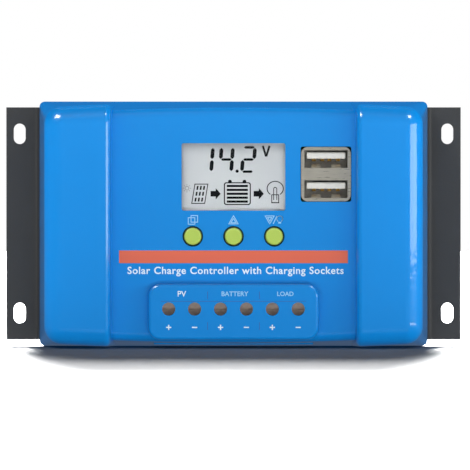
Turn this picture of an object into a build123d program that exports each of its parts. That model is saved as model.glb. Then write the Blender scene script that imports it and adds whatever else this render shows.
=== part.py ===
from build123d import *
import os
from math import cos, pi, radians, sin, tan

# Wall-mounted solar charge controller: a moulded case with two raised pods on a black metal plate,
# a display, two charging sockets, three push buttons and six rising-cage screw terminals.
#
# Frame: X runs right along the wall, Z runs up, and the wall is the plane Y = 0. The front of the
# case looks along -Y. A "level" is a distance in front of the wall, so Y = -level. All sizes are mm.

os.makedirs("parts", exist_ok=True)

# ---------------------------------------------------------------- mounting plate
plate_thickness = 1.5
flange_width = 8.3  # flat part of each side flange
plate_step = 3.0  # air gap behind the web, which also takes the screw heads
foot_bend = 1.2  # front radius where a flange turns up
slot_width = 3.5
slot_length = 6.0
slot_edge = 3.9  # slot centres, in from the plate's side edges
slot_end = 7.75  # slot centres, in from the plate's top and bottom edges

# ---------------------------------------------------------------- case
case_width = 113.4
case_height = 71.4
case_depth = 33.5  # front of the pods, measured from the wall
case_corner = 1.5
wall = 2.0
side_lean = 2.2  # each side leans in by this much from rim to front
end_lean = 1.8
crown_corner = 6.0  # plan corner of the case at its front
crown_radius = 5.2  # rounding along the front edges of the pods
bow_radius = 765.0  # the top and bottom edges of the front are arcs
step_gap = 0.3  # the plate's step stands this far outside the case
lip_thickness = 1.5  # lips that wrap the plate's top and bottom edges
lip_gap = 0.2

panel_level = 27.5
channel_half_width = 35.4  # the panel lies in a channel between the pods
channel_draft = 5.0
channel_edge = 1.6
panel_end_lean = 2.6  # the panel's two ends lean in by this much from rim to front
panel_edge = 2.6
panel_overlap = 4.0  # how far the centre block reaches into each pod

boss_inset_x = 6.2  # boss centres, in from the rim of the case
boss_inset_z = 6.7
boss_radius = 3.5
boss_height = 19.0
thread_clearance = 0.025  # radial play of a drawn screw in its hole
screw_radius = 1.5
screw_head_radius = 2.8
screw_head_height = 1.8

# ---------------------------------------------------------------- boards
standoff_height = 5.2
standoff_radius = 3.0
spigot_radius = 2.1
board_thickness = 1.6
power_board_inset_x = 4.7  # edges of the board, in from the rim of the case
power_board_inset_z = 4.2
power_board_notch = 8.0
standoff_inset_x = 10.0  # standoff centres, in from the edges of the board
standoff_inset_z = 4.5
display_board_width = 67.0
display_board_top = 29.0
display_board_bottom = -16.0
post_x = 30.5
post_top_z = 26.0
post_bottom_z = -13.0
post_radius = 2.5
small_screw_radius = 1.0
small_head_radius = 1.9
small_head_height = 1.3

# ---------------------------------------------------------------- display
window_width = 30.0
window_height = 19.5
window_z = 14.0
window_lip = 0.8  # thickness of the panel around the window opening
lens_margin = 1.4
lens_thickness = 1.0
lens_clearance = 0.15
glass_thickness = 1.1
glass_width = 34.0
front_glass_height = 25.0
rear_glass_height = 21.0
strip_thickness = 1.3
backlight_thickness = 3.8
holder_wall = 1.0
holder_clearance = 0.15

# ---------------------------------------------------------------- buttons
button_names = ("left", "middle", "right")
button_pitch = 11.8
button_gap = 0.15  # between the caps' flanges and the glass holder
button_radius = 2.5
button_clearance = 0.3
button_stand = 0.5  # how far a cap stands above the panel
button_crown = 0.5
button_travel = 0.5
button_flange_width = 0.9
button_flange_thickness = 0.8
button_slack = 0.2  # between a cap's flange and the panel
switch_side = 6.0
switch_height = 3.5
plunger_radius = 1.75
plunger_play = 0.06
plunger_sink = 0.9  # length of the plunger inside its switch at rest

# ---------------------------------------------------------------- charging sockets
usb_edge = 1.25  # panel left between the opening and the right pod
usb_z = 14.8
usb_pitch = 8.7
usb_port_width = 12.5
usb_port_height = 5.12
usb_shell_wall = 0.4
usb_cavity_depth = 11.4
usb_stand = 0.2  # how far the flared mouth stands above the panel
usb_flare = 0.55
usb_mouth_corner = 1.9
usb_opening_clearance = 0.15
tongue_width = 11.1
tongue_thickness = 1.84
tongue_length = 9.6
tongue_gap = 0.6
contact_offsets = (-3.5, -1.0, 1.0, 3.5)
contact_width = 1.1
contact_thickness = 0.35
contact_depth = 0.4  # depth of each contact's groove in the tongue

# ---------------------------------------------------------------- terminals
terminal_names = ("pv_plus", "pv_minus", "battery_plus", "battery_minus", "load_plus", "load_minus")
terminal_pitch = 7.5
terminal_inset = 8.9  # screw centres, up from the cover's bottom edge
cover_inset = 2.6  # cover's bottom edge, in from the rim of the case
cover_height = 16.15
cover_headroom = 1.1
cover_corner = 3.6
cover_edge = 1.0
cover_wall = 1.4
cover_gap = 0.3  # between the terminal block and the cover
access_radius = 1.9
block_inset = 2.3  # block's bottom face, in from the cover's bottom edge
block_side = 1.05
block_floor = 2.0
block_lid = 1.2
nose_depth = 2.2  # the block's nose fills the opening in the case's bottom wall
nose_height = 9.6
nose_clearance = 0.2
wire_gap = 4.4  # clear height under the bar with the clamp open
wire_width = 4.8
bar_thickness = 1.0
bar_width = 4.4
leg_width = 2.0
cage_wall = 0.7
cage_floor = 0.9
cage_head = 1.8
cage_length = 6.6
cage_play = 0.1
cage_travel = 3.6  # six turns of a 0.6 mm thread
clamp_screw_radius = 1.75
clamp_head_radius = 2.3
clamp_head_height = 1.8
clamp_play = 0.05
head_gap = 0.2

# ---------------------------------------------------------------- power parts
can_radius = 6.0
can_height = 17.0
can_offset = 0.6  # cans and coil stand this much inward of the middle of their pod
can_pitch = 14.0
sleeve_thickness = 0.3
core_radius = 6.3
core_hole_radius = 3.0
core_height = 5.6
core_z = 7.0
wire_radius = 0.6
turns = 14
transistor_pitch = 17.0
transistor_z = 10.0
transistor_width = 10.0
transistor_body = 9.2
transistor_tab = 6.4
tab_thickness = 1.3
transistor_thickness = 4.3
pad_thickness = 0.3
header_pins_count = 8
header_pitch = 2.54
header_x = -31.6
header_z = 6.0
lead_z = -3.0

# ---------------------------------------------------------------- levels worked out from the above
web_bend = plate_step - foot_bend
web_back = plate_step
rim_level = plate_step + plate_thickness
board_back = rim_level + standoff_height
board_front = board_back + board_thickness
panel_back = panel_level - wall
step_x = case_width / 2 + step_gap
foot_x = step_x + foot_bend
edge_x = foot_x + flange_width
plate_height = case_height - 2 * (lip_thickness + lip_gap)
slot_spacing_x = 2 * (edge_x - slot_edge)
slot_spacing_z = plate_height - 2 * slot_end
boss_spacing_x = case_width - 2 * boss_inset_x
boss_spacing_z = case_height - 2 * boss_inset_z
power_board_width = case_width - 2 * power_board_inset_x
power_board_height = case_height - 2 * power_board_inset_z
standoff_spacing_x = power_board_width - 2 * standoff_inset_x
standoff_spacing_z = power_board_height - 2 * standoff_inset_z
pod_middle = (channel_half_width + case_width / 2) / 2
can_x = pod_middle - can_offset
core_x = can_offset - pod_middle
lens_front = panel_level - window_lip
lens_back = lens_front - lens_thickness
front_glass_back = panel_back - glass_thickness
rear_glass_back = front_glass_back - glass_thickness
display_front = rear_glass_back - backlight_thickness
display_back = display_front - board_thickness
cap_top = panel_level + button_stand
flange_top = panel_back - button_slack
holder_bottom_z = window_z - front_glass_height / 2 - holder_clearance - holder_wall
button_z = holder_bottom_z - button_gap - button_flange_width - button_radius
flange_bottom = flange_top - button_flange_thickness
usb_front = panel_level + usb_stand
usb_clear = usb_flare + usb_opening_clearance
usb_width = usb_port_width + 2 * usb_shell_wall
usb_height = usb_port_height + usb_pitch + 2 * usb_shell_wall
usb_x = channel_half_width - usb_edge - usb_clear - usb_width / 2
usb_cavity_back = usb_front - usb_cavity_depth
cage_bottom = board_front + block_floor + cage_play
bar_back = cage_bottom + cage_floor + wire_gap
bar_front = bar_back + bar_thickness
cage_head_back = bar_front + cage_play
cage_top = cage_head_back + cage_head
head_back = cage_top + cage_travel + head_gap
head_front = head_back + clamp_head_height
block_lid_back = head_front + cage_play
block_front = block_lid_back + block_lid
cage_width = wire_width + 2 * cage_wall
block_width = 5 * terminal_pitch + cage_width + 2 * (cage_play + block_side)
cover_width = block_width + 2 * (cover_wall + cover_gap)
cover_level = block_front + cover_headroom + cover_wall
cover_bottom_z = cover_inset - case_height / 2
cover_top_z = cover_bottom_z + cover_height
block_top_z = cover_top_z - cover_wall - cover_gap
block_bottom_z = cover_bottom_z + block_inset
terminal_z = cover_bottom_z + terminal_inset
panel_edge_level = panel_level - panel_edge - wall
nose_centre = cage_bottom + cage_floor + wire_gap / 2
leg_z = block_top_z - 0.9
bar_end_z = terminal_z - cage_length / 2 - cage_play - 1
post_spots = [(x, z) for x in (post_x, -post_x) for z in (post_top_z, post_bottom_z)]
tongue_z = [
    usb_z + port * usb_pitch / 2 + (usb_port_height - tongue_thickness) / 2 - tongue_gap for port in (1, -1)
]
lead_spots = [
    ((i - 1.5) * transistor_pitch + dx, lead_z) for i in range(4) for dx in (-2.54, 0, 2.54)
]
transistor_x = [(i - 1.5) * transistor_pitch for i in range(4)]
can_spots = [(can_x, can_pitch / 2 + 2), (can_x, -can_pitch / 2 + 2)]
core_back = board_front + 2 * wire_radius + 0.2
button_x = {name: (i - 1) * button_pitch for i, name in enumerate(button_names)}
terminal_x = {name: (i - 2.5) * terminal_pitch for i, name in enumerate(terminal_names)}


def level(height):
    """Plane parallel to the wall, this far in front of it: x runs right and y runs up."""
    return Plane.XZ.offset(height)


def save(part, name):
    """Labels a finished piece and writes it to its own file."""
    part.label = name
    export_step(part, f"parts/{name}.step")


# ================================================================ mounting plate
with BuildPart() as mounting_plate:
    # Hat section seen from above: flange, foot bend, web bend, web, and the same mirrored.
    bend_x = step_x - web_bend
    bend_level = plate_thickness + foot_bend
    with BuildSketch(Plane.XY):
        with BuildLine():
            Polyline((0, -rim_level), (bend_x, -rim_level))
            RadiusArc((bend_x, -rim_level), (step_x, -bend_level), -web_bend)
            RadiusArc((step_x, -bend_level), (foot_x, -plate_thickness), foot_bend)
            Polyline((foot_x, -plate_thickness), (edge_x, -plate_thickness), (edge_x, 0), (foot_x, 0))
            RadiusArc((foot_x, 0), (step_x - plate_thickness, -bend_level), -(foot_bend + plate_thickness))
            RadiusArc(
                (step_x - plate_thickness, -bend_level),
                (bend_x, -web_back),
                web_bend - plate_thickness,
            )
            Polyline((bend_x, -web_back), (0, -web_back), (0, -rim_level))
        make_face()
        mirror(about=Plane.YZ)
    extrude(amount=plate_height / 2, both=True)
    with BuildSketch(level(0)):
        with GridLocations(slot_spacing_x, slot_spacing_z, 2, 2):
            SlotOverall(slot_length, slot_width, rotation=90)
    extrude(amount=plate_thickness, mode=Mode.SUBTRACT)
    with Locations(level(rim_level)):
        with GridLocations(boss_spacing_x, boss_spacing_z, 2, 2):
            Hole(screw_radius + 0.2)
        with GridLocations(standoff_spacing_x, standoff_spacing_z, 2, 2):
            Hole(spigot_radius)
save(mounting_plate.part, "mounting_plate")

# ================================================================ case
with BuildPart() as case:
    # Two pods: one leaning block with bowed ends, split by a channel.
    front_x = case_width / 2 - side_lean
    front_z = case_height / 2 - end_lean
    with BuildSketch(level(rim_level)):
        RectangleRounded(case_width, case_height, case_corner)
    with BuildSketch(level(case_depth)):
        with BuildLine():
            RadiusArc((-front_x, front_z), (front_x, front_z), bow_radius)
            Line((front_x, front_z), (front_x, -front_z))
            RadiusArc((front_x, -front_z), (-front_x, -front_z), bow_radius)
            Line((-front_x, -front_z), (-front_x, front_z))
        make_face()
        fillet(vertices(), crown_corner)
    loft()
    fillet(edges().group_by(Axis.Y)[0], crown_radius)
    channel_rise = case_depth - panel_level
    channel_top = channel_half_width + channel_rise * tan(radians(channel_draft))
    channel_low = channel_half_width - (panel_level - rim_level) * tan(radians(channel_draft))
    with BuildSketch(level(rim_level)):
        Rectangle(2 * channel_low, 2 * case_height)
    with BuildSketch(level(case_depth)):
        Rectangle(2 * channel_top, 2 * case_height)
    loft(mode=Mode.SUBTRACT)
    inner_edges = edges().group_by(Axis.Y)[0].filter_by(Axis.Z)
    fillet(inner_edges.filter_by(lambda e: abs(e.center().X) < channel_top + 1), channel_edge)

    # The block between the pods, whose front is the panel, reaches a little way into both.
    block_x = channel_low + panel_overlap
    panel_z = case_height / 2 - panel_end_lean
    with BuildPart(mode=Mode.PRIVATE) as centre:
        with BuildSketch(level(rim_level)):
            Rectangle(2 * block_x, case_height)
        with BuildSketch(level(panel_level)):
            with BuildLine():
                RadiusArc((-block_x, panel_z), (block_x, panel_z), bow_radius)
                Line((block_x, panel_z), (block_x, -panel_z))
                RadiusArc((block_x, -panel_z), (-block_x, -panel_z), bow_radius)
                Line((-block_x, -panel_z), (-block_x, panel_z))
            make_face()
        loft()
        front_edges = edges().group_by(Axis.Y)[0]
        fillet(front_edges.filter_by(lambda e: abs(e.center().Z) > panel_z - 1), panel_edge)
    add(centre.part)

    # The raised cover over the terminals.
    cover_z = (cover_top_z + cover_bottom_z) / 2
    with BuildPart(mode=Mode.PRIVATE) as cover:
        with BuildSketch(level(rim_level)):
            with Locations((0, cover_z)):
                RectangleRounded(cover_width, cover_height, cover_corner)
        extrude(amount=cover_level - rim_level)
        fillet(edges().group_by(Axis.Y)[0], cover_edge)
    add(cover.part)

    # Lips that wrap the top and bottom edges of the plate.
    lip_z = (case_height - lip_thickness) / 2
    with BuildSketch(level(rim_level)):
        with Locations((0, lip_z), (0, -lip_z)):
            Rectangle(case_width - 2 * case_corner, lip_thickness)
    extrude(amount=-(rim_level - plate_thickness))

    # Hollow: one room below the panel, a room in each pod and one inside the terminal cover.
    inner_width = case_width - 2 * wall
    inner_height = case_height - 2 * wall
    lean = 4.5
    room_top = case_depth - wall
    shoulder = case_depth - crown_radius - 0.5
    with BuildSketch(level(rim_level)):
        RectangleRounded(inner_width, inner_height, case_corner)
    extrude(amount=panel_edge_level - rim_level, taper=lean, mode=Mode.SUBTRACT)
    shrink = (panel_edge_level - rim_level) * tan(radians(lean))
    with BuildSketch(level(panel_edge_level)):
        Rectangle(inner_width - 2 * shrink, inner_height - 2 * shrink - 2)
    extrude(amount=panel_back - panel_edge_level, taper=25, mode=Mode.SUBTRACT)
    pod_inner = channel_top + wall
    pod_outer = inner_width / 2 - shrink
    pod_x = (pod_inner + pod_outer) / 2
    pod_height = inner_height - 2 * shrink
    with BuildSketch(level(panel_edge_level)):
        with Locations((pod_x, 0), (-pod_x, 0)):
            Rectangle(pod_outer - pod_inner, pod_height)
    extrude(amount=shoulder - panel_edge_level, taper=lean, mode=Mode.SUBTRACT)
    step_in = (shoulder - panel_edge_level) * tan(radians(lean))
    with BuildSketch(level(shoulder)):
        with Locations((pod_x, 0), (-pod_x, 0)):
            Rectangle(pod_outer - pod_inner - 2 * step_in, pod_height - 2 * step_in)
    extrude(amount=room_top - shoulder, taper=38, mode=Mode.SUBTRACT)
    with BuildSketch(level(panel_edge_level)):
        with Locations((0, cover_z)):
            Rectangle(cover_width - 2 * cover_wall, cover_height - 2 * cover_wall)
    extrude(amount=cover_level - cover_wall - panel_edge_level, mode=Mode.SUBTRACT)

    # Screw bosses in the corners and posts for the display board.
    with BuildSketch(level(rim_level)):
        with GridLocations(boss_spacing_x, boss_spacing_z, 2, 2):
            Circle(boss_radius)
    extrude(amount=boss_height)
    with BuildSketch(level(display_front)):
        with Locations(*post_spots):
            Circle(post_radius)
    extrude(amount=panel_back - display_front + wall / 2)

    # Openings in the front and the bottom, and the screw holes.
    with BuildSketch(level(panel_back - 1)):
        with Locations((0, window_z)):
            RectangleRounded(window_width, window_height, 0.6)
        with Locations((usb_x, usb_z)):
            RectangleRounded(usb_width + 2 * usb_clear, usb_height + 2 * usb_clear, 0.7)
        with Locations(*[(x, button_z) for x in button_x.values()]):
            Circle(button_radius + button_clearance)
    extrude(amount=case_depth, mode=Mode.SUBTRACT)
    with BuildSketch(level(panel_back - 1)):
        with Locations((0, window_z)):
            Rectangle(window_width + 2 * lens_margin, window_height + 2 * lens_margin)
    extrude(amount=lens_front - panel_back + 1, mode=Mode.SUBTRACT)
    with BuildSketch(level(block_front - 1)):
        with Locations(*[(x, terminal_z) for x in terminal_x.values()]):
            Circle(access_radius)
    extrude(amount=case_depth, mode=Mode.SUBTRACT)
    with BuildSketch(Plane.XY.offset(cover_bottom_z + cover_wall + 1)):
        with Locations((0, -nose_centre)):
            Rectangle(block_width + 2 * nose_clearance, nose_height + 2 * nose_clearance)
    extrude(amount=-8, mode=Mode.SUBTRACT)
    with BuildSketch(level(rim_level)):
        with GridLocations(boss_spacing_x, boss_spacing_z, 2, 2):
            Circle(screw_radius + thread_clearance)
    extrude(amount=boss_height - 4, mode=Mode.SUBTRACT)
    with BuildSketch(level(display_front)):
        with Locations(*post_spots):
            Circle(small_screw_radius + thread_clearance)
    extrude(amount=5, mode=Mode.SUBTRACT)
save(case.part, "case")

# ================================================================ display
with BuildPart() as lens:
    with BuildSketch(level(lens_back)):
        with Locations((0, window_z)):
            gap = lens_margin - lens_clearance
            RectangleRounded(window_width + 2 * gap, window_height + 2 * gap, 0.5)
    extrude(amount=lens_thickness)
    chamfer(edges().group_by(Axis.Y)[0], 0.15)
save(lens.part, "lens")

with BuildPart() as front_glass:
    with BuildSketch(level(front_glass_back)):
        with Locations((0, window_z)):
            Rectangle(glass_width, front_glass_height)
    extrude(amount=glass_thickness)
save(front_glass.part, "front_glass")

with BuildPart() as rear_glass:
    with BuildSketch(level(rear_glass_back)):
        with Locations((0, window_z)):
            Rectangle(glass_width, rear_glass_height)
    extrude(amount=glass_thickness)
save(rear_glass.part, "rear_glass")

with BuildPart() as light_guide:
    with BuildSketch(level(display_front)):
        with Locations((0, window_z)):
            Rectangle(glass_width, rear_glass_height)
    extrude(amount=backlight_thickness)
    chamfer(edges().filter_by(Axis.Y), 0.6)
save(light_guide.part, "light_guide")

with BuildPart() as glass_holder:
    # A frame around the glass stack, with a foot at each corner on the board.
    holder_gap = 2 * holder_clearance
    with BuildSketch(level(display_front)):
        with Locations((0, window_z)):
            Rectangle(
                glass_width + holder_gap + 2 * holder_wall,
                front_glass_height + holder_gap + 2 * holder_wall,
            )
            Rectangle(glass_width + holder_gap, front_glass_height + holder_gap, mode=Mode.SUBTRACT)
    extrude(amount=panel_back - display_front)
    with BuildSketch(level(display_front)):
        with Locations((0, window_z)):
            Rectangle(glass_width - 6, 2 * front_glass_height)
    extrude(amount=0.8, mode=Mode.SUBTRACT)
save(glass_holder.part, "glass_holder")

with BuildPart() as contact_strips:
    # Rubber strips that join the ledges of the front glass to the board.
    ledge = (front_glass_height - rear_glass_height) / 2
    with BuildSketch(level(display_front)):
        for side in (1, -1):
            with Locations((0, window_z + side * (rear_glass_height + ledge) / 2)):
                Rectangle(glass_width - 1, strip_thickness)
    extrude(amount=front_glass_back - display_front)
save(contact_strips.part, "contact_strips")

# ================================================================ display board
with BuildPart() as display_board:
    board_z = (display_board_top + display_board_bottom) / 2
    with BuildSketch(level(display_back)):
        with Locations((0, board_z)):
            RectangleRounded(display_board_width, display_board_top - display_board_bottom, 1)
        with Locations((usb_x + 5, usb_z)):
            Rectangle(usb_width + 11, usb_height + 1, mode=Mode.SUBTRACT)
        with Locations(*post_spots):
            Circle(small_screw_radius + 0.15, mode=Mode.SUBTRACT)
        with Locations((header_x, header_z)):
            with GridLocations(1, header_pitch, 1, header_pins_count):
                Circle(0.5, mode=Mode.SUBTRACT)
        with Locations(*[(x, button_z) for x in button_x.values()]):
            with GridLocations(4.5, 6.5, 2, 2):
                Circle(0.5, mode=Mode.SUBTRACT)
    extrude(amount=board_thickness)
save(display_board.part, "display_board")

with BuildPart() as display_screws:
    with BuildSketch(level(display_back)):
        with Locations(*post_spots):
            Circle(small_head_radius)
    extrude(amount=-small_head_height)
    chamfer(edges().filter_by(GeomType.CIRCLE).group_by(Axis.Y)[-1], 0.3)
    with BuildSketch(level(display_back)):
        with Locations(*post_spots):
            Circle(small_screw_radius)
    extrude(amount=board_thickness + 4.5)
    with BuildSketch(level(display_back - small_head_height)):
        with Locations(*post_spots):
            Rectangle(2.2, 0.4)
            Rectangle(0.4, 2.2)
    extrude(amount=0.7, mode=Mode.SUBTRACT)
save(display_screws.part, "display_screws")

# ================================================================ buttons
for name, x in button_x.items():
    with BuildPart() as button_cap:
        with BuildSketch(level(flange_bottom)):
            with Locations((x, button_z)):
                Circle(button_radius + button_flange_width)
        extrude(amount=button_flange_thickness)
        with BuildSketch(level(flange_top)):
            with Locations((x, button_z)):
                Circle(button_radius)
        extrude(amount=cap_top - flange_top)
        fillet(edges().group_by(Axis.Y)[0], button_crown)
    save(button_cap.part, f"{name}_button_cap")

    with BuildPart() as plunger:
        with BuildSketch(level(display_front + switch_height - plunger_sink)):
            with Locations((x, button_z)):
                Circle(plunger_radius)
        extrude(amount=flange_bottom - display_front - switch_height + plunger_sink)
    save(plunger.part, f"{name}_plunger")

with BuildPart() as switch_bodies:
    with BuildSketch(level(display_front)):
        with Locations(*[(x, button_z) for x in button_x.values()]):
            Rectangle(switch_side, switch_side)
    extrude(amount=switch_height)
    chamfer(edges().filter_by(Axis.Y), 0.4)
    well = plunger_sink + button_travel + 0.3
    with BuildSketch(level(display_front + switch_height)):
        with Locations(*[(x, button_z) for x in button_x.values()]):
            Circle(plunger_radius + plunger_play)
    extrude(amount=-well, mode=Mode.SUBTRACT)
save(switch_bodies.part, "switch_bodies")

with BuildPart() as switch_leads:
    # Four bent legs on each switch, through the board.
    with BuildSketch(level(display_back - 0.8)):
        with Locations(*[(x, button_z) for x in button_x.values()]):
            with GridLocations(4.5, 6.5, 2, 2):
                Rectangle(0.6, 0.3)
    extrude(amount=board_thickness + 1.8)
save(switch_leads.part, "switch_leads")

# ================================================================ charging sockets
with BuildPart() as usb_shell:
    with BuildSketch(level(board_front)):
        with Locations((usb_x, usb_z)):
            RectangleRounded(usb_width, usb_height, 0.5)
    extrude(amount=usb_front - board_front)
    # Flared mouth, as a lofted rim.
    with BuildSketch(level(usb_front - 1.2)):
        with Locations((usb_x, usb_z)):
            RectangleRounded(usb_width - 0.02, usb_height - 0.02, 0.5)
    with BuildSketch(level(usb_front)):
        with Locations((usb_x, usb_z)):
            RectangleRounded(usb_width + 2 * usb_flare, usb_height + 2 * usb_flare, usb_mouth_corner)
    loft()
    with BuildSketch(level(board_front)):
        with Locations((usb_x, usb_z)):
            Rectangle(usb_port_width, usb_height - 2 * usb_shell_wall)
    extrude(amount=usb_cavity_back - board_front, mode=Mode.SUBTRACT)
    with BuildSketch(level(usb_cavity_back)):
        with Locations((usb_x, usb_z + usb_pitch / 2), (usb_x, usb_z - usb_pitch / 2)):
            Rectangle(usb_port_width, usb_port_height)
    extrude(amount=usb_front, mode=Mode.SUBTRACT)
save(usb_shell.part, "usb_shell")

with BuildPart() as usb_insulator:
    base_clear = 0.1
    with BuildSketch(level(board_front)):
        with Locations((usb_x, usb_z)):
            Rectangle(usb_port_width - base_clear, usb_height - 2 * usb_shell_wall - base_clear)
    extrude(amount=usb_cavity_back - board_front - base_clear)
    with BuildSketch(level(usb_cavity_back - 1)):
        for z in tongue_z:
            with Locations((usb_x, z)):
                Rectangle(tongue_width, tongue_thickness)
    extrude(amount=tongue_length + 1)
    chamfer(edges().group_by(Axis.Y)[0].filter_by(Axis.X), 0.3)
    with BuildSketch(level(usb_cavity_back - 3)):
        for z in tongue_z:
            with Locations(*[(usb_x + dx, z - tongue_thickness / 2) for dx in contact_offsets]):
                Rectangle(contact_width + 0.04, 2 * contact_depth)
    extrude(amount=tongue_length + 2.7, mode=Mode.SUBTRACT)
save(usb_insulator.part, "usb_insulator")

with BuildPart() as usb_contacts:
    # Four sprung fingers under each tongue, bowed away from it.
    for z in tongue_z:
        for dx in contact_offsets:
            root = z - tongue_thickness / 2 + contact_depth - 0.02
            with BuildSketch(Plane.YZ.offset(usb_x + dx)):
                with BuildLine():
                    Polyline(
                        (-usb_cavity_back + 2.9, root),
                        (-usb_cavity_back - 3.5, root),
                        (-usb_cavity_back - 6.5, root - 0.85),
                        (-usb_cavity_back - 8.6, root),
                        (-usb_cavity_back - 9.1, root),
                        (-usb_cavity_back - 9.1, root - contact_thickness),
                        (-usb_cavity_back - 8.4, root - contact_thickness),
                        (-usb_cavity_back - 6.5, root - 0.8 - contact_thickness),
                        (-usb_cavity_back - 3.7, root - contact_thickness),
                        (-usb_cavity_back + 2.9, root - contact_thickness),
                        close=True,
                    )
                make_face()
            extrude(amount=contact_width / 2, both=True)
save(usb_contacts.part, "usb_contacts")

# ================================================================ power board
with BuildPart() as power_board:
    with BuildSketch(level(board_back)):
        Rectangle(power_board_width, power_board_height)
        with GridLocations(power_board_width, power_board_height, 2, 2):
            Rectangle(2 * power_board_notch, 2 * power_board_notch, mode=Mode.SUBTRACT)
        with GridLocations(standoff_spacing_x, standoff_spacing_z, 2, 2):
            Circle(screw_radius + 0.15, mode=Mode.SUBTRACT)
        with Locations((header_x, header_z)):
            with GridLocations(1, header_pitch, 1, header_pins_count):
                Circle(0.5, mode=Mode.SUBTRACT)
        with Locations(*[(x, leg_z) for x in terminal_x.values()]):
            Rectangle(leg_width + 0.2, bar_thickness + 0.2, mode=Mode.SUBTRACT)
        with Locations(*lead_spots):
            Circle(0.6, mode=Mode.SUBTRACT)
    extrude(amount=board_thickness)
save(power_board.part, "power_board")

with BuildPart() as standoffs:
    with BuildSketch(level(rim_level)):
        with GridLocations(standoff_spacing_x, standoff_spacing_z, 2, 2):
            RegularPolygon(standoff_radius, 6)
    extrude(amount=standoff_height)
    with BuildSketch(level(web_back)):
        with GridLocations(standoff_spacing_x, standoff_spacing_z, 2, 2):
            Circle(spigot_radius - thread_clearance)
    extrude(amount=plate_thickness)
    with BuildSketch(level(board_back)):
        with GridLocations(standoff_spacing_x, standoff_spacing_z, 2, 2):
            Circle(screw_radius + thread_clearance)
    extrude(amount=-standoff_height, mode=Mode.SUBTRACT)
save(standoffs.part, "standoffs")

with BuildPart() as board_screws:
    with BuildSketch(level(board_front)):
        with GridLocations(standoff_spacing_x, standoff_spacing_z, 2, 2):
            Circle(screw_head_radius)
    extrude(amount=screw_head_height)
    fillet(edges().filter_by(GeomType.CIRCLE).group_by(Axis.Y)[0], 0.7)
    with BuildSketch(level(board_front)):
        with GridLocations(standoff_spacing_x, standoff_spacing_z, 2, 2):
            Circle(screw_radius)
    extrude(amount=-(board_thickness + standoff_height - 0.8))
    with BuildSketch(level(board_front + screw_head_height)):
        with GridLocations(standoff_spacing_x, standoff_spacing_z, 2, 2):
            Rectangle(3.2, 0.6)
            Rectangle(0.6, 3.2)
    extrude(amount=-1, mode=Mode.SUBTRACT)
save(board_screws.part, "board_screws")

with BuildPart() as case_screws:
    # Driven from behind the web into the bosses of the case.
    with BuildSketch(level(web_back)):
        with GridLocations(boss_spacing_x, boss_spacing_z, 2, 2):
            Circle(screw_head_radius)
    extrude(amount=-screw_head_height)
    fillet(edges().filter_by(GeomType.CIRCLE).group_by(Axis.Y)[-1], 0.7)
    with BuildSketch(level(web_back)):
        with GridLocations(boss_spacing_x, boss_spacing_z, 2, 2):
            Circle(screw_radius)
    extrude(amount=plate_thickness + boss_height - 6)
    with BuildSketch(level(web_back - screw_head_height)):
        with GridLocations(boss_spacing_x, boss_spacing_z, 2, 2):
            Rectangle(3.2, 0.6)
            Rectangle(0.6, 3.2)
    extrude(amount=1, mode=Mode.SUBTRACT)
save(case_screws.part, "case_screws")

# ================================================================ terminals
with BuildPart() as terminal_block:
    block_z = (block_top_z + block_bottom_z) / 2
    with BuildSketch(level(board_front)):
        with Locations((0, block_z)):
            Rectangle(block_width, block_top_z - block_bottom_z)
    extrude(amount=block_front - board_front)
    with BuildSketch(Plane.XY.offset(block_bottom_z)):
        with Locations((0, -nose_centre)):
            Rectangle(block_width, nose_height)
    extrude(amount=-nose_depth)
    spots = [(x, terminal_z) for x in terminal_x.values()]
    with BuildSketch(level(board_front + block_floor)):
        with Locations(*spots):
            Rectangle(cage_width + 2 * cage_play, cage_length + 2 * cage_play)
    extrude(amount=head_back - cage_play - board_front - block_floor, mode=Mode.SUBTRACT)
    with BuildSketch(level(head_back - 1)):
        with Locations(*spots):
            Circle(clamp_head_radius + clamp_play)
    extrude(amount=block_lid_back - head_back + 1, mode=Mode.SUBTRACT)
    with BuildSketch(level(block_lid_back - 1)):
        with Locations(*spots):
            Circle(access_radius)
    extrude(amount=block_lid + 2, mode=Mode.SUBTRACT)
    # Wire entries in the nose, each with a funnel.
    entries = [(x, -(cage_bottom + cage_floor + wire_gap / 2)) for x in terminal_x.values()]
    with BuildSketch(Plane.XY.offset(block_bottom_z - nose_depth)):
        with Locations(*entries):
            Rectangle(wire_width, wire_gap)
    extrude(amount=terminal_z - block_bottom_z + nose_depth, mode=Mode.SUBTRACT)
    # Slots for the bars and their legs.
    with BuildSketch(level(bar_back)):
        with Locations(*[(x, (bar_end_z + leg_z) / 2) for x in terminal_x.values()]):
            Rectangle(bar_width + 0.1, leg_z - bar_end_z + bar_thickness + 0.1)
    extrude(amount=bar_thickness + 0.05, mode=Mode.SUBTRACT)
    with BuildSketch(level(board_front)):
        with Locations(*[(x, leg_z) for x in terminal_x.values()]):
            Rectangle(bar_width + 0.1, bar_thickness + 0.1)
    extrude(amount=bar_front - board_front + 0.05, mode=Mode.SUBTRACT)
save(terminal_block.part, "terminal_block")

with BuildPart() as terminal_bars:
    # L-shaped copper bars: the screws press on them and their legs are soldered into the board.
    with BuildSketch(level(bar_back)):
        with Locations(*[(x, (bar_end_z + leg_z) / 2) for x in terminal_x.values()]):
            Rectangle(bar_width, leg_z - bar_end_z + bar_thickness)
    extrude(amount=bar_thickness)
    with BuildSketch(level(board_front + 0.1)):
        with Locations(*[(x, leg_z) for x in terminal_x.values()]):
            Rectangle(bar_width, bar_thickness)
    extrude(amount=bar_back - board_front - 0.1)
    with BuildSketch(level(board_back - 1)):
        with Locations(*[(x, leg_z) for x in terminal_x.values()]):
            Rectangle(leg_width, bar_thickness)
    extrude(amount=board_thickness + 1.1)
save(terminal_bars.part, "terminal_bars")

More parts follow.
